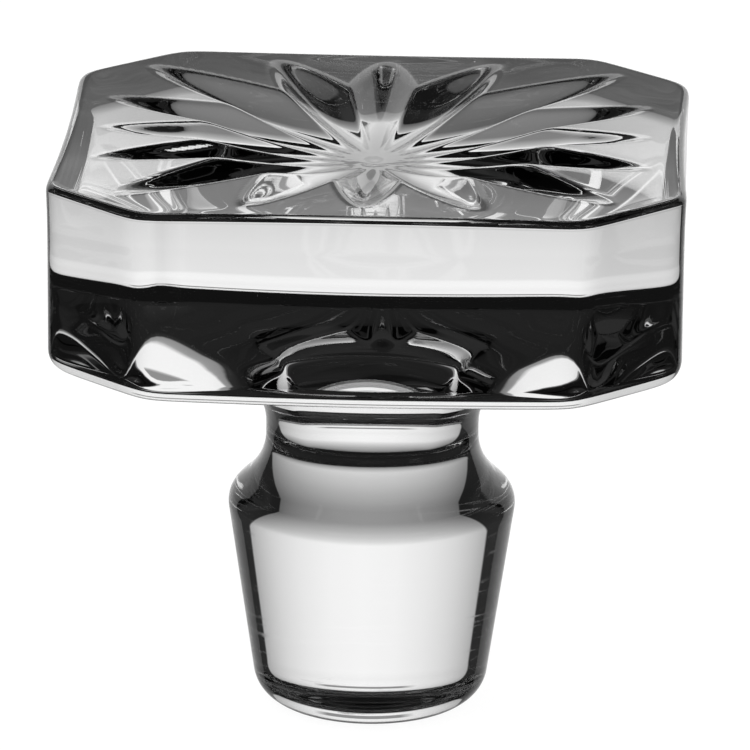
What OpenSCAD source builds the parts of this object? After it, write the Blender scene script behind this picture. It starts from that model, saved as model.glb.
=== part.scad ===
// Stopper of a cut crystal decanter: a square head with cut corners and a star
// cut into its top, a waisted neck and a tapered plug, all in one piece of glass.
// The origin is the middle of the flat foot, and +Z points up through the head.

/* [Head] */
// Width of the head across its flats
head_w = 50; // [44:0.5:56]
// Height of the head's side, from the top to the edge of the underside
head_h = 15.6; // [12:0.2:18]
// How far each corner is cut back along both of its sides
corner_cut = 7.9; // [6.5:0.1:9]
// Radius of the upright edges beside each cut corner
corner_round = 4.6; // [2:0.2:6]
// How far the middle of each side is ground inward
side_hollow = 0.35; // [0.2:0.05:0.5]
// How much narrower each side is at its lower edge
side_draft = 0.1; // [0:0.05:0.3]
// Radius of the edge around the top
top_round = 0.7; // [0.5:0.1:1.2]
// Radius of the edge around the underside
bottom_round = 1.8; // [1:0.1:2]
// Slope of the turned underside at the corners, in degrees
corner_slope = 3.6; // [2:0.2:5]
// Slope of the turned underside where it meets the neck's hollow, in degrees
neck_slope = 16; // [10:1:18]
// How late the underside grows steep on its way inward: 1 is evenly
slope_growth = 2.8; // [1:0.2:4]

/* [Star cut] */
// Number of petals around the star
star_petals = 16; // [8, 16]
// Depth of the cuts in the middle of the star
star_depth = 2.3; // [1.4:0.1:2.6]
// Width of the plain margin between the petals and the sides
star_margin = 4.2; // [2.6:0.2:6]
// Angle between the two faces of each cut, in degrees
cut_angle = 93; // [88:1:120]
// Radius of the rounded floor of each cut
valley_round = 1.2; // [0.6:0.1:1.8]

/* [Neck] */
// Height from the shoulder of the plug to the edge of the head
neck_h = 14.4; // [13.8:0.2:18]
// Diameter of the neck at its waist
neck_d = 17.1; // [16:0.1:18.5]
// Width of the oval hollow under the head
hollow_w = 9; // [6:0.5:10]
// Height of the oval hollow under the head
hollow_h = 6.5; // [5:0.1:7.4]
// Radius of the hollow above the shoulder
neck_flare_round = 4.8; // [3.6:0.2:5]

/* [Plug] */
// Height of the shoulder above the foot
plug_h = 17.4; // [15:0.2:24]
// Diameter of the plug at its shoulder
shoulder_d = 23; // [21.5:0.1:24.5]
// Radius of the rounded shoulder
shoulder_round = 2; // [1:0.1:2.2]
// Taper of the plug from its axis, in degrees
plug_taper = 8; // [5:0.1:8.5]
// Diameter of the flat foot
foot_d = 15; // [12.5:0.1:15.5]
// Height of the bevel around the foot
foot_bevel_h = 1.4; // [1.2:0.1:2.4]
// Radius that softens both edges of the bevel
foot_round = 1; // [0.5:0.1:1]

/* [Hidden] */

glass_colour = [0.90, 0.93, 0.93];
$fn = 96;

// Steps along the curves of the head's outline and of each rounded edge
side_steps = 8;
edge_steps = 6;
corner_steps = 5;
under_steps = 12;

total_h = plug_h + neck_h + head_h;
under_z = plug_h + neck_h;
head_half = head_w / 2;
neck_r = neck_d / 2;
hollow_r = neck_r + hollow_w;

// Distances from the axis to the cut corners, and to the points beside them
corner_half = (head_w - corner_cut) / sqrt(2);
corner_r = norm([head_half, head_half - corner_cut]);

// Room past the stopper for the blocks that the head is cut from
spare = 1;

// The cuts of the star, all of them grooves that meet in its middle
star_half = head_half - star_margin;
petal_angle = 360 / star_petals;
cut_slope = 1 / tan(cut_angle / 2);
floor_curve = 2.3;
cutter_top = 4;
ring_steps = 20;

// Points across one petal, and with them the ridge beside it. The outermost points
// of a petal follow its edge, a hair above the plain top.
across_steps = 6;
petal_steps = across_steps + 2;
spokes = star_petals * petal_steps;
edge_rise = 0.02;
least_edge = 0.3;
most_edge = 0.45;

// Points of an arc, from angle a0 to angle a1
function arc(centre, radius, a0, a1, steps = edge_steps) =
    [for (i = [0:steps])
        let (a = a0 + (a1 - a0) * i / steps)
        centre + radius * [cos(a), sin(a)]];

// Points of the fillet of a given radius at corner b of the path a, b, c
function fillet(a, b, c, radius, steps = edge_steps) =
    let (u = (a - b) / norm(a - b),
         v = (c - b) / norm(c - b),
         half = acos(u * v) / 2,
         mid = (u + v) / norm(u + v),
         centre = b + mid * radius / sin(half),
         p = b + u * radius / tan(half) - centre,
         q = b + v * radius / tan(half) - centre,
         a0 = atan2(p.y, p.x),
         turn = atan2(p.x * q.y - p.y * q.x, p * q))
    arc(centre, radius, a0, a0 + turn, steps);

// One hollow side of the outline, from its right end to its left end
function hollow_side(half_length, depth) =
    [for (i = [0:side_steps])
        let (t = 1 - 2 * i / side_steps)
        [half_length * t, head_half - depth * (1 - t * t)]];

function turned(points, a) =
    [for (p = points) [p.x * cos(a) - p.y * sin(a), p.x * sin(a) + p.y * cos(a)]];

// Plan of the head: four hollow sides, with each cut corner rounded into them.
function corner_points() =
    let (side_end = [head_half - corner_cut, head_half],
         next_end = [head_half, head_half - corner_cut],
         before = next_end - [0, 1],
         after = side_end - [1, 0])
    concat(fillet(before, next_end, side_end, corner_round, corner_steps),
           fillet(next_end, side_end, after, corner_round, corner_steps));

module head_plan() {
    round_back = corner_round * tan(22.5);
    side = hollow_side(head_half - corner_cut - round_back, side_hollow);
    quarter = concat(corner_points(), [for (i = [1:side_steps - 1]) side[i]]);
    polygon([for (k = [0:3]) each turned(quarter, 90 * k)]);
}

// How far a point at radius r lies inward, as a share of the way to the hollow
function under_share(r) = max(corner_r - r, 0) / (corner_r - hollow_r);

// Slope of the turned underside at radius r
function under_slope(r) =
    tan(corner_slope)
    + (tan(neck_slope) - tan(corner_slope)) * pow(under_share(r), slope_growth);

// Height that the underside has lost at radius r, on its way in from the corners
function under_fall(r) =
    let (growth = (under_slope(r) - tan(corner_slope)) / (slope_growth + 1))
    max(corner_r - r, 0) * (tan(corner_slope) + growth);

function under_height(r) = under_z - under_fall(r) + under_fall(head_half - side_draft);

// Points of the oval hollow from the waist of the neck up to the underside
hollow_share = 0.8;
hollow_turn = atan2(hollow_h, hollow_w * under_slope(neck_r + hollow_share * hollow_w));
hollow_end = hollow_r - hollow_w * cos(hollow_turn);
waist_z = under_height(hollow_end) - hollow_h * sin(hollow_turn);

function hollow_points() =
    [for (i = [0:under_steps])
        let (a = hollow_turn * i / under_steps)
        [hollow_r - hollow_w * cos(a), waist_z + hollow_h * sin(a)]];

function under_points() =
    [for (i = [1:under_steps])
        let (r = hollow_end + (corner_r + spare - hollow_end) * i / under_steps)
        [r, under_height(r)]];

// Foot, plug, shoulder, neck and underside of the head as one turned body. Above the
// underside it is a plain drum, from which the head is cut.
module turned_body() {
    foot_r = foot_d / 2;
    bevel_r = shoulder_d / 2 - (plug_h - foot_bevel_h) * tan(plug_taper);
    shoulder_r = shoulder_d / 2 + shoulder_round * (1 - cos(plug_taper));
    foot_edge = [foot_r, 0];
    bevel_top = [bevel_r, foot_bevel_h];
    shoulder = [shoulder_r, plug_h];
    waist_low = [neck_r, plug_h + (shoulder_r - neck_r)];
    rotate_extrude()
        polygon(concat([[0, 0]],
                       fillet([0, 0], foot_edge, bevel_top, foot_round),
                       fillet(foot_edge, bevel_top, shoulder, foot_round),
                       fillet(bevel_top, shoulder, waist_low, shoulder_round),
                       fillet(shoulder, waist_low, [neck_r, waist_z], neck_flare_round),
                       hollow_points(),
                       under_points(),
                       [[corner_r + spare, total_h + spare], [0, total_h + spare]]));
}

// Right half of an upright section of the head, for faces at a given distance. Its
// rounded lower edge ends a little below the underside; further in it reaches down
// past the foot.
function section_half(half, draft) =
    let (edge_share = 0.86,
         steeper = 0.045,
         top = [half, total_h],
         foot = [half - draft, under_height(half - draft)],
         inner_x = foot.x * edge_share,
         inner = [inner_x, foot.y - (foot.x - inner_x) * (under_slope(foot.x) + steeper)])
    concat([[inner_x, -spare]],
           [inner],
           fillet(inner, foot, top, bottom_round),
           fillet(foot, top, [0, total_h], top_round));

// Bar of that section, as long as the head is wide
module section_bar(half, draft) {
    right = section_half(half, draft);
    last = len(right) - 1;
    left = [for (i = [0:last]) [-right[last - i].x, right[last - i].y]];
    rotate([90, 0, 0])
        linear_extrude(height = 2 * head_w, center = true)
            polygon(concat(right, left));
}

// Everything but the star: the turned body cut to the head's sides and rounded edges
module blank() {
    edge_half = head_half * cos(22.5) + (head_half - corner_cut) * sin(22.5)
                - corner_round * (1 / cos(22.5) - 1);
    intersection() {
        turned_body();
        translate([0, 0, -spare])
            linear_extrude(height = total_h + 2 * spare)
                head_plan();
        crossed_bars(head_half, side_draft, 0);
        crossed_bars(corner_half, side_draft, 45);
        crossed_bars(edge_half, 0, 22.5);
        crossed_bars(edge_half, 0, 67.5);
    }
}

// What two bars at right angles have in common
module crossed_bars(half, draft, a) {
    intersection() {
        rotate([0, 0, a]) section_bar(half, draft);
        rotate([0, 0, a + 90]) section_bar(half, draft);
    }
}

// Distance from the middle to a petal's tip: the tips follow the square outline,
// and the corner petals end at the same margin from the cut corners.
function petal_reach(a) =
    let (fold = abs(((a + 45) % 90) - 45))
    min(star_half / cos(fold), corner_half - star_margin);

// Height of the floor of petal k above the top, at radius r: it sinks from the tip
// to the middle of the star
function floor_height(r, k) =
    star_depth * (pow(r / petal_reach(k * petal_angle), floor_curve) - 1);

// Height of the cut of petal k above the top, at radius r and angle a: a groove with
// a rounded floor
function cut_height(r, a, k) =
    let (across = norm([r * sin(a - k * petal_angle), valley_round]) - valley_round)
    floor_height(r, k) + across * cut_slope;

function star_height(r, a) =
    let (k = floor(a / petal_angle))
    min(cut_height(r, a, k), cut_height(r, a, k + 1));

// Angle from the middle of petal k to its edge, at radius r
function edge_angle(r, k) =
    let (deep = max(edge_rise - floor_height(r, k), 0),
         wall = deep / cut_slope + valley_round,
         across = sqrt(wall * wall - valley_round * valley_round),
         edge = asin(min(across / r, 1)))
    max(least_edge, min(edge, most_edge * petal_angle));

// Angle of point j around the star, at radius r
function point_angle(r, j) =
    let (k = floor(j / petal_steps),
         step = j - k * petal_steps,
         off = 2 * step / across_steps - 1)
    k * petal_angle + (step <= across_steps ? off * edge_angle(r, k) : petal_angle / 2);

// What the star takes out of the top, as one faceted body that reaches above it
module star_cutter() {
    floor_rings = [for (i = [1:ring_steps]) each
        [for (j = [0:spokes - 1])
            let (r = corner_half * i / ring_steps,
                 a = point_angle(r, j))
            [r * cos(a), r * sin(a), star_height(r, a)]]];
    lid = [for (j = [0:spokes - 1])
        let (a = point_angle(corner_half, j))
        [corner_half * cos(a), corner_half * sin(a), cutter_top]];
    rows = ring_steps + 1;
    middle = rows * spokes;
    polyhedron(
        points = concat(floor_rings, lid, [[0, 0, -star_depth], [0, 0, cutter_top]]),
        faces = [for (j = [0:spokes - 1])
            let (next = (j + 1) % spokes)
            each concat(
                [[middle, j, next]],
                [for (i = [0:rows - 2])
                    let (near = i * spokes,
                         far = near + spokes)
                    each [[near + j, far + j, near + next],
                          [near + next, far + j, far + next]]],
                [[middle + 1, middle - spokes + next, middle - spokes + j]])]);
}

module stopper() {
    color(glass_colour)
        difference() {
            blank();
            translate([0, 0, total_h])
                star_cutter();
        }
}

stopper();
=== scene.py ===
"""Stopper of a cut-glass decanter, with the pale studio that it stands in."""

import math

import bpy
import numpy as np
from bpy.props import FloatProperty, FloatVectorProperty, IntProperty, PointerProperty
from bpy.types import Operator, Panel, PropertyGroup
from mathutils import Matrix, Vector


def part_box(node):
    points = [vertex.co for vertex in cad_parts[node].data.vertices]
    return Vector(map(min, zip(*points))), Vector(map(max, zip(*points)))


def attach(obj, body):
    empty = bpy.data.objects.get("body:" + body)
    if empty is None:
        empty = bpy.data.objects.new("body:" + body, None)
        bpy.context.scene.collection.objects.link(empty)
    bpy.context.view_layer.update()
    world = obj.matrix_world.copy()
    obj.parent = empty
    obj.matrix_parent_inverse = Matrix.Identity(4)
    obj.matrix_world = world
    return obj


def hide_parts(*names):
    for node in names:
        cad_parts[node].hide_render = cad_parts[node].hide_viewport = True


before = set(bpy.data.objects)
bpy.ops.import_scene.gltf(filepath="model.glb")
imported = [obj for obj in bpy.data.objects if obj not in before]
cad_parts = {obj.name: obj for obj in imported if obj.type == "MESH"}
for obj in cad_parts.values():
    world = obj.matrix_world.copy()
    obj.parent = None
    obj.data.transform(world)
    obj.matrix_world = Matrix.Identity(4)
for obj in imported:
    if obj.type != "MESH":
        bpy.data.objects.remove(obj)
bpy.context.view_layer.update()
TOP = Vector(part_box("stopper")[1]).z

bl_info = {
    "name": "Cut-glass stopper",
    "version": (1, 0, 0),
    "blender": (4, 5, 0),
    "location": "View3D > Sidebar > Stopper",
    "description": "Models a cut-glass decanter stopper and the studio around it",
    "category": "Mesh",
}

MM = 0.001

# Columns of points around the stopper, and rings of points across each stretch
AROUND = 448
STAR_RINGS = 90
UNDER_RINGS = 34
HOLLOW_RINGS = 18
SIDE_RINGS = 7
EDGE_RINGS = 10
CURVE_RINGS = 10
CONE_RINGS = 6
WAIST_RINGS = 3
# Radii of the rings on the flat foot, and share of the way to the rim of the star's last ring
FOOT_RINGS = (1 * MM, 3 * MM, 5 * MM)
STAR_MIDDLE = 0.012

# Depth over which the side draws in below its upper edge
DRAFT_DEPTH = 2 * MM
# Each cut runs on past the middle, where it rises by this much times the square of the
# millimetres it has gone; after the last of them it stays clear of the top
RUN_OUT_RISE = 0.2 * MM
RUN_OUT_END = 1
CLEAR_OF_TOP = 1 * MM
# How far to either side of a place a slope is measured
SLOPE_STEP = 0.3 * MM
# Where across the hollow its own curve takes over the slope of the underside
HOLLOW_SHARE = 0.8
# Radii between which the underside's faces grow out of the turned part
FACE_START = 8 * MM
FACE_FULL = 16 * MM
# How much further in than the rounded edge the underside's slope is taken
SLOPE_REACH = 0.5 * MM

# Noise cycles per metre of the scratches, across and up, and the noise where they start and end
SCRATCH_STRETCH = (260, 260, 2600)
SCRATCH_START = 0.6
SCRATCH_FULL = 0.7
# Cycles per metre of the polish's waves
WAVE_SCALE = 140
# Share of the light that the glass lets into its own shadow
SHADOW_LIGHT = 0.85

# The floor: its radius, its grey under the lamp and its own glow
FLOOR_RADIUS = 3
FLOOR_GREY = 0.16
FLOOR_GLOW = 0.88
# The lamp: where it hangs, its width in metres and its power in watts
LAMP_PLACE = Vector((-0.35, -0.25, 0.8))
LAMP_SIZE = 0.7
LAMP_POWER = 3
SENSOR_WIDTH = 36

# The lit sheet's brightness at heights above and below the horizon, in degrees
SHEET_HEIGHTS = (
    (-90, 0.15), (-60, 0.17), (-45, 0.25), (-38, 0.34), (-30, 0.46), (-22, 0.62),
    (-17, 0.76), (-12, 0.98), (-7, 1.0), (0, 0.95), (8, 1.0), (26, 1.0),
    (27.5, 0.35), (30.5, 0.28), (32, 0.03), (40, 0.01), (90, 0.01))
# Its brightness at turns to either side of its middle, in degrees, out to its sharp edge
SHEET_TURNS = (
    (0, 1.0), (10, 0.97), (20, 0.88), (30, 0.75), (40, 0.587), (46.5, 0.475), (47.5, 0.02),
    (180, 0.02))
# A dim card hangs in front of the sheet, where the plain top of the head mirrors it:
# its strength at heights and at turns, in degrees
CARD_HEIGHTS = ((10.6, 0), (11.4, 1), (15.2, 1), (16, 0))
CARD_TURNS = ((14, 1), (20, 0))


# ---------------------------------------------------------------- settings


class HeadSizes(PropertyGroup):
    """The square head with its cut corners, and the underside that sweeps down to the neck"""

    width: FloatProperty(
        name="Width", description="Width of the head across its flats",
        default=50 * MM, min=0.03, max=0.08, unit="LENGTH")
    height: FloatProperty(
        name="Height", description="Height of the side, from the top to the edge of the underside",
        default=15.475 * MM, min=0.01, max=0.02, unit="LENGTH")
    corner_cut: FloatProperty(
        name="Corner cut", description="How far each corner is cut back along both of its sides",
        default=7.85 * MM, min=0.004, max=0.01, unit="LENGTH")
    side_hollow: FloatProperty(
        name="Side hollow", description="How far the middle of each side is ground inward",
        default=0.36 * MM, min=0, max=0.001, unit="LENGTH")
    side_draft: FloatProperty(
        name="Side draft", description="How much further in the side lies below its upper edge",
        default=0.1 * MM, min=0, max=0.001, unit="LENGTH")
    corner_sharpness: FloatProperty(
        name="Corner sharpness", description="How crisp the upright edges are",
        default=55, min=20, max=300)
    top_round: FloatProperty(
        name="Top edge", description="Radius of the edge around the top",
        default=0.7 * MM, min=0.0002, max=0.002, unit="LENGTH")
    bottom_round: FloatProperty(
        name="Lower edge", description="Radius of the edge around the underside",
        default=1.9 * MM, min=0.0005, max=0.004, unit="LENGTH")
    edge_slope: FloatProperty(
        name="Slope at the corners", description="Slope of the underside at the corners",
        default=math.radians(4), min=0, max=math.radians(20), subtype="ANGLE")
    neck_slope: FloatProperty(
        name="Slope at the neck", description="Slope of the underside where it reaches the neck's hollow",
        default=math.radians(15.5), min=0, max=math.radians(50), subtype="ANGLE")
    slope_growth: FloatProperty(
        name="Slope growth", description="How late the underside grows steep: 1 is evenly",
        default=1.8, min=0.5, max=4)
    facet_share: FloatProperty(
        name="Facet share",
        description="How far the underside follows the head's outline instead of a circle",
        default=0.5, min=0, max=1)


class StarCut(PropertyGroup):
    """The star of cuts in the top"""

    petals: IntProperty(
        name="Petals", description="Number of petals around the star", default=16, min=8, max=24)
    depth: FloatProperty(
        name="Depth", description="Depth of the cuts in the middle of the star",
        default=2.3 * MM, min=0.0005, max=0.003, unit="LENGTH")
    margin: FloatProperty(
        name="Margin", description="Plain margin between the petals and the sides",
        default=4.2 * MM, min=0.002, max=0.008, unit="LENGTH")
    corner_margin: FloatProperty(
        name="Corner margin", description="Plain margin between the petals and the cut corners",
        default=3.8 * MM, min=0.002, max=0.008, unit="LENGTH")
    face_slope: FloatProperty(
        name="Face slope", description="Slope of the two faces of each cut",
        default=0.95, min=0.2, max=1.5)
    floor_curve: FloatProperty(
        name="Floor curve", description="Power of the curve along which the cuts sink to the middle",
        default=2.5, min=1, max=4)
    valley_round: FloatProperty(
        name="Valley round", description="Half width of the rounded floor of each cut",
        default=1.2 * MM, min=0.00001, max=0.003, unit="LENGTH")
    ridge_round: FloatProperty(
        name="Ridge round", description="Height over which the ridges between cuts are polished soft",
        default=0.36 * MM, min=0.00001, max=0.001, unit="LENGTH")


class PlugSizes(PropertyGroup):
    """The turned neck, shoulder, plug and foot"""

    neck_radius: FloatProperty(
        name="Neck", description="Radius of the neck at its waist",
        default=8.55 * MM, min=0.006, max=0.011, unit="LENGTH")
    hollow_width: FloatProperty(
        name="Hollow width", description="Width of the oval hollow under the head",
        default=8.8 * MM, min=0.002, max=0.012, unit="LENGTH")
    hollow_height: FloatProperty(
        name="Hollow height", description="Height of the oval hollow under the head",
        default=6.5 * MM, min=0.002, max=0.012, unit="LENGTH")
    flare_height: FloatProperty(
        name="Flare height", description="Height at which the neck would turn into the flare",
        default=20.4 * MM, min=0.017, max=0.024, unit="LENGTH")
    flare_round: FloatProperty(
        name="Hollow above the shoulder", description="Radius of the hollow above the shoulder",
        default=4.8 * MM, min=0.001, max=0.006, unit="LENGTH")
    shoulder_radius: FloatProperty(
        name="Shoulder", description="Radius of the shoulder before it is rounded",
        default=11.7 * MM, min=0.009, max=0.014, unit="LENGTH")
    shoulder_height: FloatProperty(
        name="Shoulder height", description="Height of the shoulder above the foot",
        default=17.5 * MM, min=0.012, max=0.02, unit="LENGTH")
    shoulder_round: FloatProperty(
        name="Shoulder edge", description="Radius of the rounded shoulder",
        default=2.1 * MM, min=0.0005, max=0.004, unit="LENGTH")
    bevel_radius: FloatProperty(
        name="Lower end", description="Radius of the plug where the foot's bevel starts",
        default=9.3 * MM, min=0.007, max=0.011, unit="LENGTH")
    bevel_height: FloatProperty(
        name="Bevel height", description="Height of the bevel around the foot",
        default=1.4 * MM, min=0.0005, max=0.004, unit="LENGTH")
    bevel_round: FloatProperty(
        name="Bevel edge", description="Radius that softens the top of the bevel",
        default=2.9 * MM, min=0.0005, max=0.005, unit="LENGTH")
    foot_radius: FloatProperty(
        name="Foot", description="Radius of the flat foot before its edge is rounded",
        default=7.55 * MM, min=0.004, max=0.009, unit="LENGTH")
    foot_round: FloatProperty(
        name="Foot edge", description="Radius that softens the edge of the foot",
        default=2.95 * MM, min=0.0002, max=0.003, unit="LENGTH")


class GlassFinish(PropertyGroup):
    """The crystal and its wear"""

    tint: FloatVectorProperty(
        name="Tint", description="Colour of the glass", subtype="COLOR",
        default=(1.0, 1.0, 1.0), min=0, max=1)
    ior: FloatProperty(
        name="Refractive index", description="Refractive index of the crystal",
        default=1.54, min=1.4, max=1.8)
    scratch_roughness: FloatProperty(
        name="Scratch roughness", description="Roughness of the fine scratches on the plug",
        default=0.25, min=0, max=1)
    waviness: FloatProperty(
        name="Waviness", description="Height of the polish's slow waves",
        default=0.01 * MM, min=0, max=0.0005, unit="LENGTH")


class StudioSettings(PropertyGroup):
    """The light around the stopper, and the camera"""

    window: FloatProperty(
        name="Window", description="Brightness of the lit sheet behind the stopper",
        default=1, min=0, max=2)
    room: FloatProperty(
        name="Room", description="Brightness of the dim room around it",
        default=0.005, min=0, max=1)
    card: FloatProperty(
        name="Card", description="How far the card behind the stopper dims the lit sheet",
        default=0.7, min=0, max=1)
    turn: FloatProperty(
        name="Camera turn", description="Turn of the camera around the stopper",
        default=math.radians(2.45), subtype="ANGLE")
    tilt: FloatProperty(
        name="Camera tilt", description="How far the camera looks down",
        default=math.radians(17.24), subtype="ANGLE")
    roll: FloatProperty(
        name="Camera roll", description="Roll of the camera about its own axis",
        default=math.radians(0.5), subtype="ANGLE")
    distance: FloatProperty(
        name="Camera distance", description="Distance from the camera to the stopper's axis",
        default=0.6125, unit="LENGTH")
    lens: FloatProperty(
        name="Lens", description="Focal length", default=366, unit="CAMERA")
    aim_side: FloatProperty(
        name="Aim side", description="How far to the right of the axis the camera aims",
        default=0.175 * MM, unit="LENGTH")
    aim_depth: FloatProperty(
        name="Aim depth", description="How far below the top the camera aims",
        default=20.16 * MM, unit="LENGTH")


# ---------------------------------------------------------------- shape


def fillet(before, corner, after, radius, steps=EDGE_RINGS):
    """Points of the arc that rounds a corner of a path."""
    before, corner, after = (np.array(p, float) for p in (before, corner, after))
    back = (before - corner) / np.linalg.norm(before - corner)
    ahead = (after - corner) / np.linalg.norm(after - corner)
    half = math.acos(float(np.clip(back @ ahead, -1, 1))) / 2
    middle = (back + ahead) / np.linalg.norm(back + ahead)
    centre = corner + middle * radius / math.sin(half)
    start = corner + back * radius / math.tan(half) - centre
    end = corner + ahead * radius / math.tan(half) - centre
    first = math.atan2(start[1], start[0])
    turn = math.atan2(start[0] * end[1] - start[1] * end[0], start @ end)
    angles = first + turn * np.linspace(0, 1, steps + 1)
    return [tuple(centre + radius * np.array((math.cos(a), math.sin(a)))) for a in angles]


def side_distance(head, angles, side):
    """Distance of one of the head's eight sides from the axis."""
    half = head.width / 2
    if side % 2:
        return np.full_like(angles, (2 * half - head.corner_cut) / math.sqrt(2))
    off = (angles - side * math.pi / 4 + math.pi) % (2 * math.pi) - math.pi
    along = np.tan(np.abs(off)) * half / (half - head.corner_cut)
    return half - head.side_hollow * (1 - np.clip(along, 0, 1) ** 2)


def outline(head, angles, inset):
    """Radius of the head's plan, drawn in by an inset, with soft corners."""
    total = np.zeros_like(angles)
    for side in range(8):
        facing = np.cos(angles - side * math.pi / 4)
        distance = side_distance(head, angles, side) - inset
        near = np.maximum(facing, 0) / distance * head.width
        total += np.where(facing > 0, near ** head.corner_sharpness, 0)
    return head.width * total ** (-1 / head.corner_sharpness)


def soft_min(a, b, blend):
    """The lower of two heights, with the edge between them rounded over a height."""
    mix = np.clip(0.5 + 0.5 * (b - a) / blend, 0, 1)
    return b + (a - b) * mix - blend * mix * (1 - mix)


def star_height(head, star, x, y):
    """Height of the star's surface against the plain top, at points of the plan."""
    half = head.width / 2
    reach_side = half - star.margin
    reach_corner = (2 * half - head.corner_cut) / math.sqrt(2) - star.corner_margin
    height = np.zeros_like(x)
    for petal in range(star.petals):
        angle = petal * 2 * math.pi / star.petals
        along = x * math.cos(angle) + y * math.sin(angle)
        across = -x * math.sin(angle) + y * math.cos(angle)
        reach = min(reach_side / max(abs(math.cos(angle)), abs(math.sin(angle))), reach_corner)
        floor = -star.depth * (1 - np.abs(along / reach) ** star.floor_curve)
        wall = star.face_slope * (np.hypot(across, star.valley_round) - star.valley_round)
        behind = np.minimum(along, 0) / MM
        rise = RUN_OUT_RISE * behind ** 2
        cut = np.where(behind < -RUN_OUT_END, CLEAR_OF_TOP, floor + wall + rise)
        height = soft_min(height, cut, star.ridge_round)
    return height


class Ring:
    """One ring of points: a plain circle to raise first, and the points it ends up at."""

    def __init__(self, x, y, z):
        self.points = np.stack([x, y, z], axis=1)
        self.radius = float(np.mean(np.hypot(x, y)))
        self.height = float(np.mean(z))


def polar_ring(angles, radius, height):
    """A ring whose radius and height are one for all its points or one for each."""
    return Ring(radius * np.cos(angles), radius * np.sin(angles), height + 0 * angles)


def plug_profile(plug, neck_top):
    """Radius and height of the turned part, from the flat foot up to the neck."""
    flat = [(radius, 0) for radius in FOOT_RINGS]
    foot = (plug.foot_radius, 0)
    bevel = (plug.bevel_radius, plug.bevel_height)
    shoulder = (plug.shoulder_radius, plug.shoulder_height)
    flare = (plug.neck_radius, plug.flare_height)
    foot_edge = fillet(flat[0], foot, bevel, plug.foot_round)
    bevel_edge = fillet(foot, bevel, shoulder, plug.bevel_round)
    shoulder_edge = fillet(bevel, shoulder, flare, plug.shoulder_round)
    flare_edge = fillet(shoulder, flare, neck_top, plug.flare_round, CURVE_RINGS)
    cone = list(np.linspace(bevel_edge[-1], shoulder_edge[0], CONE_RINGS + 1)[1:-1])
    waist = list(np.linspace(flare_edge[-1], neck_top, WAIST_RINGS + 1)[1:])
    return flat + foot_edge + bevel_edge + cone + shoulder_edge + flare_edge + waist


def under_slope(head, plug, radius):
    """Slope of the underside, and the height it has lost on its way in to a radius."""
    corner = math.hypot(head.width / 2, head.width / 2 - head.corner_cut)
    inward = np.maximum(corner - radius, 0)
    share = inward / (corner - plug.neck_radius - plug.hollow_width)
    slope = math.tan(head.edge_slope)
    growth = (math.tan(head.neck_slope) - slope) * share ** head.slope_growth
    return slope + growth, inward * (slope + growth / (head.slope_growth + 1))


def under_height(head, plug, angles, radius, top):
    """Height of the underside: partly turned and partly in eight faces below the sides,
    it falls ever more steeply toward the neck."""
    edge = head.width / 2 - head.side_draft
    faced = radius * edge / outline(head, angles, head.side_draft)
    grown = np.clip((radius - FACE_START) / (FACE_FULL - FACE_START), 0, 1)
    level = radius + (faced - radius) * head.facet_share * grown ** 2 * (3 - 2 * grown)
    fall = under_slope(head, plug, level)[1] - under_slope(head, plug, edge)[1]
    return top - head.height - fall


def cut_ring(head, angles, inset, height):
    """A ring that follows the head's plan."""
    return polar_ring(angles, outline(head, angles, inset), height)


def hollow_rings(head, plug, angles, top):
    """Rings of the oval hollow, from the waist of the neck up to the underside."""
    wide, high = plug.hollow_width, plug.hollow_height
    near = plug.neck_radius + HOLLOW_SHARE * wide
    outside = under_height(head, plug, angles, near + SLOPE_STEP, top)
    rise = outside - under_height(head, plug, angles, near - SLOPE_STEP, top)
    full_turn = np.arctan2(high, wide * rise / (2 * SLOPE_STEP))
    end = plug.neck_radius + wide * (1 - np.cos(full_turn))
    waist = under_height(head, plug, angles, end, top) - high * np.sin(full_turn)
    rings = []
    for share in np.linspace(0, 1, HOLLOW_RINGS):
        turn = full_turn * share
        radius = plug.neck_radius + wide * (1 - np.cos(turn))
        rings.append(polar_ring(angles, radius, waist + high * np.sin(turn)))
    return end, rings


def under_rings(head, plug, angles, top):
    """Rings of the neck's hollow, the underside and its rounded edge, from the neck out."""
    inner, rings = hollow_rings(head, plug, angles, top)
    bend = head.bottom_round
    wall = outline(head, angles, head.side_draft)
    meeting = under_height(head, plug, angles, wall, top)
    reach = bend + SLOPE_REACH
    further_in = outline(head, angles, head.side_draft + reach)
    fall = meeting - under_height(head, plug, angles, further_in, top)
    slope = np.arctan(fall / reach)
    side_end = meeting + bend / np.tan(math.pi / 4 + slope / 2)
    outer = outline(head, angles, head.side_draft + bend * (1 - np.sin(slope)))
    for share in np.linspace(0, 1, UNDER_RINGS + 1)[1:]:
        radius = inner + (outer - inner) * share
        rings.append(polar_ring(angles, radius, under_height(head, plug, angles, radius, top)))
    for share in np.linspace(1, 0, EDGE_RINGS)[1:]:
        turn = (math.pi / 2 - slope) * share
        inset = head.side_draft + bend * (1 - np.cos(turn))
        rings.append(cut_ring(head, angles, inset, side_end - bend * np.sin(turn)))
    return rings, side_end


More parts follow.
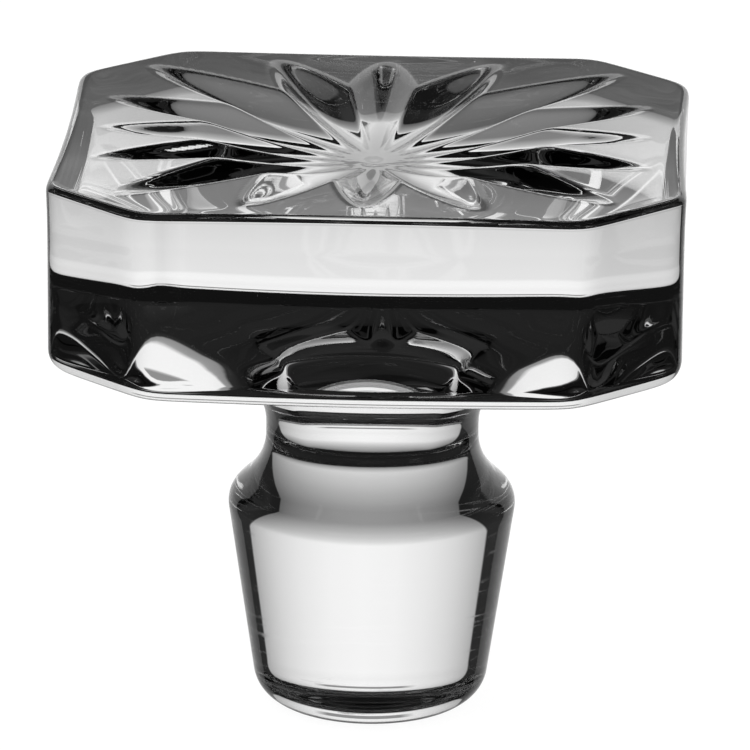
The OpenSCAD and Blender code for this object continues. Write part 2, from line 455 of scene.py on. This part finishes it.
def head_rings(head, star, plug, angles, top):
    """Rings of the underside, the side, the upper edge and the star, from the neck up."""
    rings, side_end = under_rings(head, plug, angles, top)
    side_top = top - head.top_round
    for share in np.linspace(0, 1, SIDE_RINGS + 1)[1:]:
        height = side_end + (side_top - side_end) * share
        inset = head.side_draft * (1 - np.exp((height - side_top) / DRAFT_DEPTH))
        rings.append(cut_ring(head, angles, inset, height))
    for turn in np.linspace(0, math.pi / 2, EDGE_RINGS)[1:]:
        inset = head.top_round * (1 - math.cos(turn))
        rings.append(cut_ring(head, angles, inset, side_top + head.top_round * math.sin(turn)))
    rim = outline(head, angles, head.top_round)
    for share in np.linspace(1, STAR_MIDDLE, STAR_RINGS + 1)[1:]:
        x = rim * share * np.cos(angles)
        y = rim * share * np.sin(angles)
        rings.append(Ring(x, y, top + star_height(head, star, x, y)))
    return rings


# ---------------------------------------------------------------- modelling


def leave_edit_mode():
    if bpy.context.object and bpy.context.object.mode != "OBJECT":
        bpy.ops.object.mode_set(mode="OBJECT")


def raise_rings(name, rings):
    """Extrude a circle upward ring by ring, then pull every ring into its true shape."""
    leave_edit_mode()
    bpy.ops.object.select_all(action="DESELECT")
    first = rings[0]
    bpy.ops.mesh.primitive_circle_add(
        vertices=AROUND, radius=first.radius, fill_type="NOTHING", location=(0, 0, 0))
    piece = bpy.context.object
    piece.name = name
    piece.data.name = name
    bpy.ops.object.mode_set(mode="EDIT")
    bpy.ops.mesh.select_mode(type="EDGE")
    bpy.ops.mesh.select_all(action="SELECT")
    radius = first.radius
    height = 0.0
    for ring in rings[1:]:
        bpy.ops.mesh.extrude_region_move(
            TRANSFORM_OT_translate={"value": (0, 0, ring.height - height)})
        size = ring.radius / radius
        bpy.ops.transform.resize(value=(size, size, 1), center_override=(0, 0, ring.height))
        radius = ring.radius
        height = ring.height
    bpy.ops.object.mode_set(mode="OBJECT")
    count = len(piece.data.vertices)
    if count != AROUND * len(rings):
        raise RuntimeError(f"the rings hold {count} points, not {AROUND * len(rings)}")
    pull_rings(piece, rings)
    close_ends(piece, rings)
    return piece


def pull_rings(piece, rings):
    """Move each ring's points to where the ring says, by their direction from the axis."""
    count = len(piece.data.vertices)
    place = np.empty(count * 3)
    piece.data.vertices.foreach_get("co", place)
    place = place.reshape(count, 3)
    turn = np.arctan2(place[:, 1], place[:, 0]) / (2 * math.pi)
    column = np.round(turn * AROUND).astype(int) % AROUND
    shape = np.concatenate([ring.points for ring in rings]).reshape(len(rings), AROUND, 3)
    place = shape[np.arange(count) // AROUND, column]
    piece.data.vertices.foreach_set("co", place.ravel())
    piece.data.update()


def close_ends(piece, rings):
    """Close the foot and the middle of the star, each with a fan to one point."""
    for start in (0, AROUND * (len(rings) - 1)):
        bpy.ops.object.mode_set(mode="EDIT")
        bpy.ops.mesh.select_all(action="DESELECT")
        bpy.ops.object.mode_set(mode="OBJECT")
        for vertex in piece.data.vertices[start:start + AROUND]:
            vertex.select = True
        bpy.ops.object.mode_set(mode="EDIT")
        bpy.ops.mesh.select_mode(type="VERT")
        bpy.ops.mesh.edge_face_add()
        bpy.ops.mesh.poke()
        bpy.ops.object.mode_set(mode="OBJECT")
    bpy.ops.object.mode_set(mode="EDIT")
    bpy.ops.mesh.select_all(action="SELECT")
    bpy.ops.mesh.normals_make_consistent(inside=False)
    bpy.ops.object.mode_set(mode="OBJECT")
    bpy.ops.object.shade_smooth()


def model_stopper(head, star, plug):
    """The whole stopper, from the foot up to the middle of the star."""
    angles = np.arange(AROUND) * 2 * math.pi / AROUND
    above = head_rings(head, star, plug, angles, TOP)
    profile = plug_profile(plug, (above[0].radius, above[0].height))
    below = [polar_ring(angles, radius, height) for radius, height in profile]
    return raise_rings("crystal_stopper", below + above[1:])


# ---------------------------------------------------------------- materials


def add_node(tree, kind, place, **values):
    """A node of a kind at a place in the editor, with its own settings."""
    node = tree.nodes.new(kind)
    node.location = place
    for name, value in values.items():
        setattr(node, name, value)
    return node


def scratch_group():
    """Fine level scratches, as a roughness that is there only below the band's height."""
    group = bpy.data.node_groups.new("Plug wear", "ShaderNodeTree")
    sockets = group.interface
    sockets.new_socket("Position", in_out="INPUT", socket_type="NodeSocketVector")
    sockets.new_socket("Band height", in_out="INPUT", socket_type="NodeSocketFloat")
    sockets.new_socket("Roughness", in_out="INPUT", socket_type="NodeSocketFloat")
    sockets.new_socket("Roughness", in_out="OUTPUT", socket_type="NodeSocketFloat")
    start = add_node(group, "NodeGroupInput", (-900, 0))
    end = add_node(group, "NodeGroupOutput", (700, 0))
    stretch = add_node(group, "ShaderNodeVectorMath", (-700, 100), operation="MULTIPLY")
    stretch.inputs[1].default_value = SCRATCH_STRETCH
    streaks = add_node(group, "ShaderNodeTexNoise", (-500, 100))
    streaks.inputs["Scale"].default_value = 1
    streaks.inputs["Detail"].default_value = 3
    thin = add_node(group, "ShaderNodeMapRange", (-300, 100))
    thin.inputs["From Min"].default_value = SCRATCH_START
    thin.inputs["From Max"].default_value = SCRATCH_FULL
    split = add_node(group, "ShaderNodeSeparateXYZ", (-700, -150))
    below = add_node(group, "ShaderNodeMath", (-500, -150), operation="LESS_THAN")
    band = add_node(group, "ShaderNodeMath", (-100, 0), operation="MULTIPLY")
    amount = add_node(group, "ShaderNodeMath", (300, 0), operation="MULTIPLY")
    links = group.links
    links.new(start.outputs["Position"], stretch.inputs[0])
    links.new(stretch.outputs[0], streaks.inputs["Vector"])
    links.new(streaks.outputs[0], thin.inputs["Value"])
    links.new(start.outputs["Position"], split.inputs[0])
    links.new(split.outputs["Z"], below.inputs[0])
    links.new(start.outputs["Band height"], below.inputs[1])
    links.new(thin.outputs[0], band.inputs[0])
    links.new(below.outputs[0], band.inputs[1])
    links.new(band.outputs[0], amount.inputs[0])
    links.new(start.outputs["Roughness"], amount.inputs[1])
    links.new(amount.outputs[0], end.inputs["Roughness"])
    return group


def crystal_material(finish, plug):
    """Clear crystal: polished all over, with fine wear on the plug."""
    material = bpy.data.materials.new("Crystal")
    material.use_nodes = True
    tree = material.node_tree
    tree.nodes.clear()
    place = add_node(tree, "ShaderNodeTexCoord", (-900, 0))
    wear = add_node(tree, "ShaderNodeGroup", (-600, 100), node_tree=scratch_group())
    wear.inputs["Band height"].default_value = plug.shoulder_height
    wear.inputs["Roughness"].default_value = finish.scratch_roughness
    waves = add_node(tree, "ShaderNodeTexNoise", (-600, -200))
    waves.inputs["Scale"].default_value = WAVE_SCALE
    waves.inputs["Detail"].default_value = 0
    bump = add_node(tree, "ShaderNodeBump", (-300, -200))
    bump.inputs["Strength"].default_value = 1
    bump.inputs["Distance"].default_value = finish.waviness
    glass = add_node(tree, "ShaderNodeBsdfPrincipled", (0, 0))
    glass.inputs["Base Color"].default_value = (*finish.tint, 1)
    glass.inputs["Metallic"].default_value = 0
    glass.inputs["IOR"].default_value = finish.ior
    glass.inputs["Transmission Weight"].default_value = 1
    clear = add_node(tree, "ShaderNodeBsdfTransparent", (0, -500))
    clear.inputs["Color"].default_value = (SHADOW_LIGHT,) * 3 + (1,)
    path = add_node(tree, "ShaderNodeLightPath", (0, 400))
    mix = add_node(tree, "ShaderNodeMixShader", (400, 0))
    output = add_node(tree, "ShaderNodeOutputMaterial", (600, 0))
    links = tree.links
    links.new(place.outputs["Object"], wear.inputs["Position"])
    links.new(wear.outputs["Roughness"], glass.inputs["Roughness"])
    links.new(place.outputs["Object"], waves.inputs["Vector"])
    links.new(waves.outputs[0], bump.inputs["Height"])
    links.new(bump.outputs[0], glass.inputs["Normal"])
    links.new(path.outputs["Is Shadow Ray"], mix.inputs[0])
    links.new(glass.outputs[0], mix.inputs[1])
    links.new(clear.outputs[0], mix.inputs[2])
    links.new(mix.outputs[0], output.inputs["Surface"])
    return material


def floor_material():
    """Pale floor: it shows its own even light and the stopper's soft shadow to the
    camera, and lets the glass look through it at the studio."""
    material = bpy.data.materials.new("Pale floor")
    material.use_nodes = True
    tree = material.node_tree
    tree.nodes.clear()
    lit = add_node(tree, "ShaderNodeBsdfDiffuse", (0, 0))
    lit.inputs["Color"].default_value = (FLOOR_GREY,) * 3 + (1,)
    glow = add_node(tree, "ShaderNodeEmission", (0, -150))
    glow.inputs["Color"].default_value = (1, 1, 1, 1)
    glow.inputs["Strength"].default_value = FLOOR_GLOW
    pale = add_node(tree, "ShaderNodeAddShader", (200, 0))
    clear = add_node(tree, "ShaderNodeBsdfTransparent", (200, -200))
    path = add_node(tree, "ShaderNodeLightPath", (0, 400))
    mix = add_node(tree, "ShaderNodeMixShader", (400, 0))
    output = add_node(tree, "ShaderNodeOutputMaterial", (600, 0))
    links = tree.links
    links.new(lit.outputs[0], pale.inputs[0])
    links.new(glow.outputs[0], pale.inputs[1])
    links.new(path.outputs["Is Camera Ray"], mix.inputs[0])
    links.new(clear.outputs[0], mix.inputs[1])
    links.new(pale.outputs[0], mix.inputs[2])
    links.new(mix.outputs[0], output.inputs["Surface"])
    return material


def ramp(tree, place, stops):
    """A colour ramp whose grey stops are given as (position, brightness)."""
    node = add_node(tree, "ShaderNodeValToRGB", place)
    elements = node.color_ramp.elements
    while len(elements) > 1:
        elements.remove(elements[-1])
    elements[0].position = stops[0][0]
    elements[0].color = (stops[0][1],) * 3 + (1,)
    for position, brightness in stops[1:]:
        elements.new(position).color = (brightness,) * 3 + (1,)
    return node


def studio_world(studio):
    """White to the camera; to the glass, a lit sheet that sweeps up behind it in a dim room."""
    world = bpy.data.worlds.new("Studio")
    bpy.context.scene.world = world
    world.use_nodes = True
    tree = world.node_tree
    tree.nodes.clear()
    direction = add_node(tree, "ShaderNodeTexCoord", (-1300, 0))
    split = add_node(tree, "ShaderNodeSeparateXYZ", (-1100, 0))
    height = add_node(tree, "ShaderNodeMath", (-900, 200), operation="ARCSINE")
    height_share = add_node(tree, "ShaderNodeMapRange", (-700, 200))
    height_share.inputs["From Min"].default_value = -math.pi / 2
    height_share.inputs["From Max"].default_value = math.pi / 2
    side = add_node(tree, "ShaderNodeMath", (-900, -200), operation="ABSOLUTE")
    turn = add_node(tree, "ShaderNodeMath", (-700, -200), operation="ARCTAN2")
    turn_share = add_node(tree, "ShaderNodeMath", (-500, -200), operation="DIVIDE")
    turn_share.inputs[1].default_value = math.pi
    by_height = ramp(tree, (-400, 200), [((a + 90) / 180, v) for a, v in SHEET_HEIGHTS])
    by_turn = ramp(tree, (-300, -200), [(a / 180, v) for a, v in SHEET_TURNS])
    card_height = ramp(tree, (-400, 500), [((a + 90) / 180, v) for a, v in CARD_HEIGHTS])
    card_turn = ramp(tree, (-300, -500), [(a / 180, v) for a, v in CARD_TURNS])
    card = add_node(tree, "ShaderNodeMath", (-100, 500), operation="MULTIPLY")
    dimmed = add_node(tree, "ShaderNodeMath", (0, 350), operation="MULTIPLY_ADD")
    dimmed.inputs[1].default_value = -studio.card
    dimmed.inputs[2].default_value = 1
    sheet = add_node(tree, "ShaderNodeMath", (0, 0), operation="MULTIPLY")
    shown = add_node(tree, "ShaderNodeMath", (100, 150), operation="MULTIPLY")
    level = add_node(tree, "ShaderNodeMath", (200, 0), operation="MULTIPLY_ADD")
    level.inputs[1].default_value = studio.window
    level.inputs[2].default_value = studio.room
    path = add_node(tree, "ShaderNodeLightPath", (0, 600))
    seen = add_node(tree, "ShaderNodeMath", (200, 500), operation="MAXIMUM")
    glassy = add_node(tree, "ShaderNodeBackground", (400, 0))
    plain = add_node(tree, "ShaderNodeBackground", (400, -200))
    plain.inputs["Color"].default_value = (1, 1, 1, 1)
    mix = add_node(tree, "ShaderNodeMixShader", (600, 0))
    output = add_node(tree, "ShaderNodeOutputWorld", (800, 0))
    links = tree.links
    links.new(direction.outputs["Generated"], split.inputs[0])
    links.new(split.outputs["Z"], height.inputs[0])
    links.new(height.outputs[0], height_share.inputs["Value"])
    links.new(height_share.outputs[0], by_height.inputs[0])
    links.new(split.outputs["X"], side.inputs[0])
    links.new(side.outputs[0], turn.inputs[0])
    links.new(split.outputs["Y"], turn.inputs[1])
    links.new(turn.outputs[0], turn_share.inputs[0])
    links.new(turn_share.outputs[0], by_turn.inputs[0])
    links.new(by_height.outputs[0], sheet.inputs[0])
    links.new(by_turn.outputs[0], sheet.inputs[1])
    links.new(height_share.outputs[0], card_height.inputs[0])
    links.new(turn_share.outputs[0], card_turn.inputs[0])
    links.new(card_height.outputs[0], card.inputs[0])
    links.new(card_turn.outputs[0], card.inputs[1])
    links.new(card.outputs[0], dimmed.inputs[0])
    links.new(sheet.outputs[0], shown.inputs[0])
    links.new(dimmed.outputs[0], shown.inputs[1])
    links.new(shown.outputs[0], level.inputs[0])
    links.new(level.outputs[0], glassy.inputs["Color"])
    links.new(path.outputs["Is Glossy Ray"], seen.inputs[0])
    links.new(path.outputs["Is Transmission Ray"], seen.inputs[1])
    links.new(seen.outputs[0], mix.inputs[0])
    links.new(plain.outputs[0], mix.inputs[1])
    links.new(glassy.outputs[0], mix.inputs[2])
    links.new(mix.outputs[0], output.inputs["Surface"])
    return world


# ---------------------------------------------------------------- studio


def lay_floor():
    """A wide round floor under the stopper."""
    bpy.ops.object.select_all(action="DESELECT")
    bpy.ops.mesh.primitive_circle_add(
        vertices=64, radius=FLOOR_RADIUS, fill_type="NGON", location=(0, 0, 0))
    floor = bpy.context.object
    floor.name = "floor"
    floor.data.materials.append(floor_material())
    return floor


def hang_lamp():
    """A soft lamp that only throws the stopper's shadow: the glass neither mirrors nor
    passes it."""
    bpy.ops.object.light_add(type="AREA", location=LAMP_PLACE)
    lamp = bpy.context.object
    lamp.name = "soft_lamp"
    lamp.data.shape = "DISK"
    lamp.data.size = LAMP_SIZE
    lamp.data.energy = LAMP_POWER
    lamp.rotation_euler = (-LAMP_PLACE).to_track_quat("-Z", "Y").to_euler()
    lamp.visible_glossy = False
    lamp.visible_transmission = False


def stand_camera(studio):
    """A long lens, turned, tilted and rolled about the place that it aims at."""
    bpy.ops.object.camera_add()
    camera = bpy.context.object
    camera.name = "camera"
    turn = Matrix.Rotation(studio.turn, 3, "Z")
    ahead = turn @ Vector((0, math.cos(studio.tilt), -math.sin(studio.tilt)))
    right = turn @ Vector((1, 0, 0))
    up = right.cross(ahead)
    level = right * math.cos(studio.roll) + up * math.sin(studio.roll)
    upright = up * math.cos(studio.roll) - right * math.sin(studio.roll)
    stand = Matrix((level, upright, -ahead)).transposed().to_4x4()
    aim = Vector((studio.aim_side, 0, TOP - studio.aim_depth))
    stand.translation = aim - ahead * studio.distance
    camera.matrix_world = stand
    camera.data.sensor_width = SENSOR_WIDTH
    camera.data.lens = studio.lens
    camera.data.clip_start = 10 * MM
    return camera


# ---------------------------------------------------------------- operators


class STOPPER_OT_add_stopper(Operator):
    """Model the stopper in place of its plain solid"""

    bl_idname = "stopper.add_stopper"
    bl_label = "Add stopper"

    def execute(self, context):
        scene = context.scene
        plug = scene.stopper_plug
        piece = model_stopper(scene.stopper_head, scene.stopper_star, plug)
        piece.data.materials.append(crystal_material(scene.stopper_glass, plug))
        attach(piece, "root")
        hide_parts("stopper")
        return {"FINISHED"}


class STOPPER_OT_add_studio(Operator):
    """Set up the pale floor, the soft light, the lit sheet and the camera"""

    bl_idname = "stopper.add_studio"
    bl_label = "Add studio"

    def execute(self, context):
        scene = context.scene
        studio = scene.stopper_studio
        lay_floor()
        studio_world(studio)
        hang_lamp()
        scene.camera = stand_camera(studio)
        scene.view_settings.view_transform = "Standard"
        return {"FINISHED"}


class STOPPER_PT_panel(Panel):
    """All the settings and both operators"""

    bl_label = "Cut-glass stopper"
    bl_space_type = "VIEW_3D"
    bl_region_type = "UI"
    bl_category = "Stopper"

    def draw(self, context):
        layout = self.layout
        scene = context.scene
        for title, group in (
                ("Head", scene.stopper_head), ("Star", scene.stopper_star),
                ("Neck and plug", scene.stopper_plug), ("Glass", scene.stopper_glass),
                ("Studio", scene.stopper_studio)):
            box = layout.box()
            box.label(text=title)
            for name in group.__annotations__:
                box.prop(group, name)
        layout.operator(STOPPER_OT_add_stopper.bl_idname)
        layout.operator(STOPPER_OT_add_studio.bl_idname)


SETTINGS = {
    "stopper_head": HeadSizes,
    "stopper_star": StarCut,
    "stopper_plug": PlugSizes,
    "stopper_glass": GlassFinish,
    "stopper_studio": StudioSettings,
}
CLASSES = (*SETTINGS.values(), STOPPER_OT_add_stopper, STOPPER_OT_add_studio, STOPPER_PT_panel)


def register():
    for cls in CLASSES:
        bpy.utils.register_class(cls)
    for name, cls in SETTINGS.items():
        setattr(bpy.types.Scene, name, PointerProperty(type=cls))


def unregister():
    for name in SETTINGS:
        delattr(bpy.types.Scene, name)
    for cls in reversed(CLASSES):
        bpy.utils.unregister_class(cls)


def main():
    register()
    bpy.ops.stopper.add_studio()
    bpy.ops.stopper.add_stopper()


if __name__ == "__main__":
    main()
